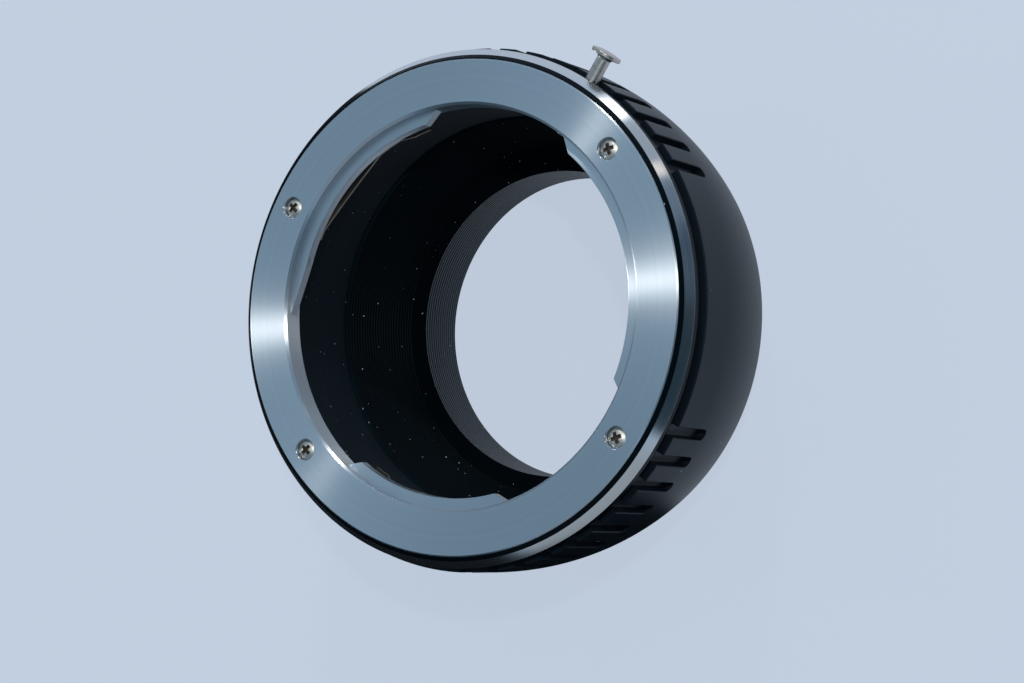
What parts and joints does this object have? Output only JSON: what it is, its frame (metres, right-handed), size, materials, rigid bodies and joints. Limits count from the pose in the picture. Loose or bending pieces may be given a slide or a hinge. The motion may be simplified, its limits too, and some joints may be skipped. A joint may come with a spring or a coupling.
{
  "type": "lens mount adapter",
  "caption": "Ring-shaped adapter that holds a camera lens in a lugged front throat and turns into a camera body by a lugged rear spigot, with a sprung pull pin that unlocks the lens.",
  "frame": {"origin": "on the optical axis, at the end of the camera-side spigot", "axes": "+Z along the optical axis towards the lens, +Y along the release knob"},
  "size_m": [0.0621, 0.0654, 0.0321],
  "materials": {
    "barrel_black": "satin black anodised, with a bright-cut front bevel",
    "mount_bright": "fine turned chrome",
    "screw_steel": "nickel-bright, slightly warm",
    "spring_bronze": "dull spring bronze",
    "pin_steel": "turned steel"
  },
  "bodies": {
    "adapter": {"barrel": "barrel_black", "lens_mount_ring": "mount_bright", "lens_ring_screws": "screw_steel", "lug_spring_1": "spring_bronze", "lug_spring_2": "spring_bronze", "lug_spring_3": "spring_bronze", "camera_mount_ring": "mount_bright", "camera_ring_screws": "screw_steel", "return_spring": "screw_steel"},
    "release_pin": {"lock_plunger": "pin_steel", "release_knob": "pin_steel"}
  },
  "joints": [
    {"name": "release", "type": "slide", "parent": "adapter", "child": "release_pin", "axis": [0, 1, 0], "range_m": [0, 0.0015], "stiffness_N_per_m": 250, "springref_m": -0.0015, "deforming": ["return_spring"]}
  ]
}
